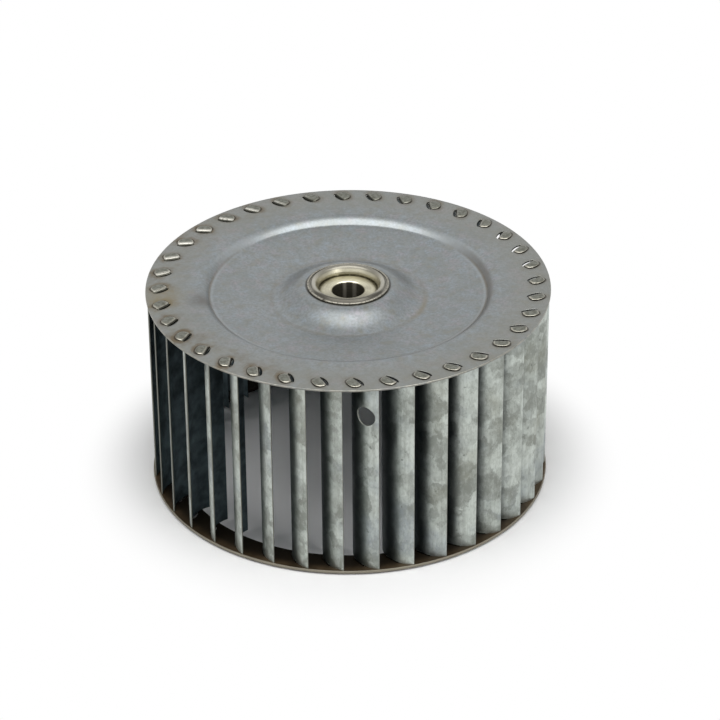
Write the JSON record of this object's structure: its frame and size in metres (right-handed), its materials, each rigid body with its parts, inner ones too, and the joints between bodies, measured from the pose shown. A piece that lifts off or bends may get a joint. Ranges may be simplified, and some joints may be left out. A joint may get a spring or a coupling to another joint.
{
  "type": "fan impeller",
  "caption": "Centrifugal fan wheel with forward curved blades tabbed into a dished back disc and a flat inlet ring, on a bored hub with a set screw.",
  "frame": {"origin": "on the wheel's axis, in the plane under the folded lower tongues, on which it stands", "axes": "+Z along the bore from the inlet ring to the back disc; the access hole and the set screw face 4.6 degrees to the +X side of -Y"},
  "size_m": [0.16, 0.16, 0.0851],
  "materials": {
    "disc_steel": "satin zinc plated sheet, faintly mottled, with brown stains at the rim",
    "ring_steel": "plated sheet darkened by brown stains",
    "blade_steel": "galvanised sheet with a coarse spangle",
    "hub_steel": "turned steel with a bright, slightly yellow plating",
    "screw_steel": "blackened steel"
  },
  "bodies": {
    "root": {"back_disc": "disc_steel", "inlet_ring": "ring_steel", "hub": "hub_steel", "set_screw": "screw_steel", "blade_01": "blade_steel", "blade_02": "blade_steel", "blade_03": "blade_steel", "blade_04": "blade_steel", "blade_05": "blade_steel", "blade_06": "blade_steel", "blade_07": "blade_steel", "blade_08": "blade_steel", "blade_09": "blade_steel", "blade_10": "blade_steel", "blade_11": "blade_steel", "blade_12": "blade_steel", "blade_13": "blade_steel", "blade_14": "blade_steel", "blade_15": "blade_steel", "blade_16": "blade_steel", "blade_17": "blade_steel", "blade_18": "blade_steel", "blade_19": "blade_steel", "blade_20": "blade_steel", "blade_21": "blade_steel", "blade_22": "blade_steel", "blade_23": "blade_steel", "blade_24": "blade_steel", "blade_25": "blade_steel", "blade_26": "blade_steel", "blade_27": "blade_steel", "blade_28": "blade_steel", "blade_29": "blade_steel", "blade_30": "blade_steel", "blade_31": "blade_steel", "blade_32": "blade_steel", "blade_33": "blade_steel", "blade_34": "blade_steel", "blade_35": "blade_steel", "blade_36": "blade_steel"}
  },
  "joints": []
}
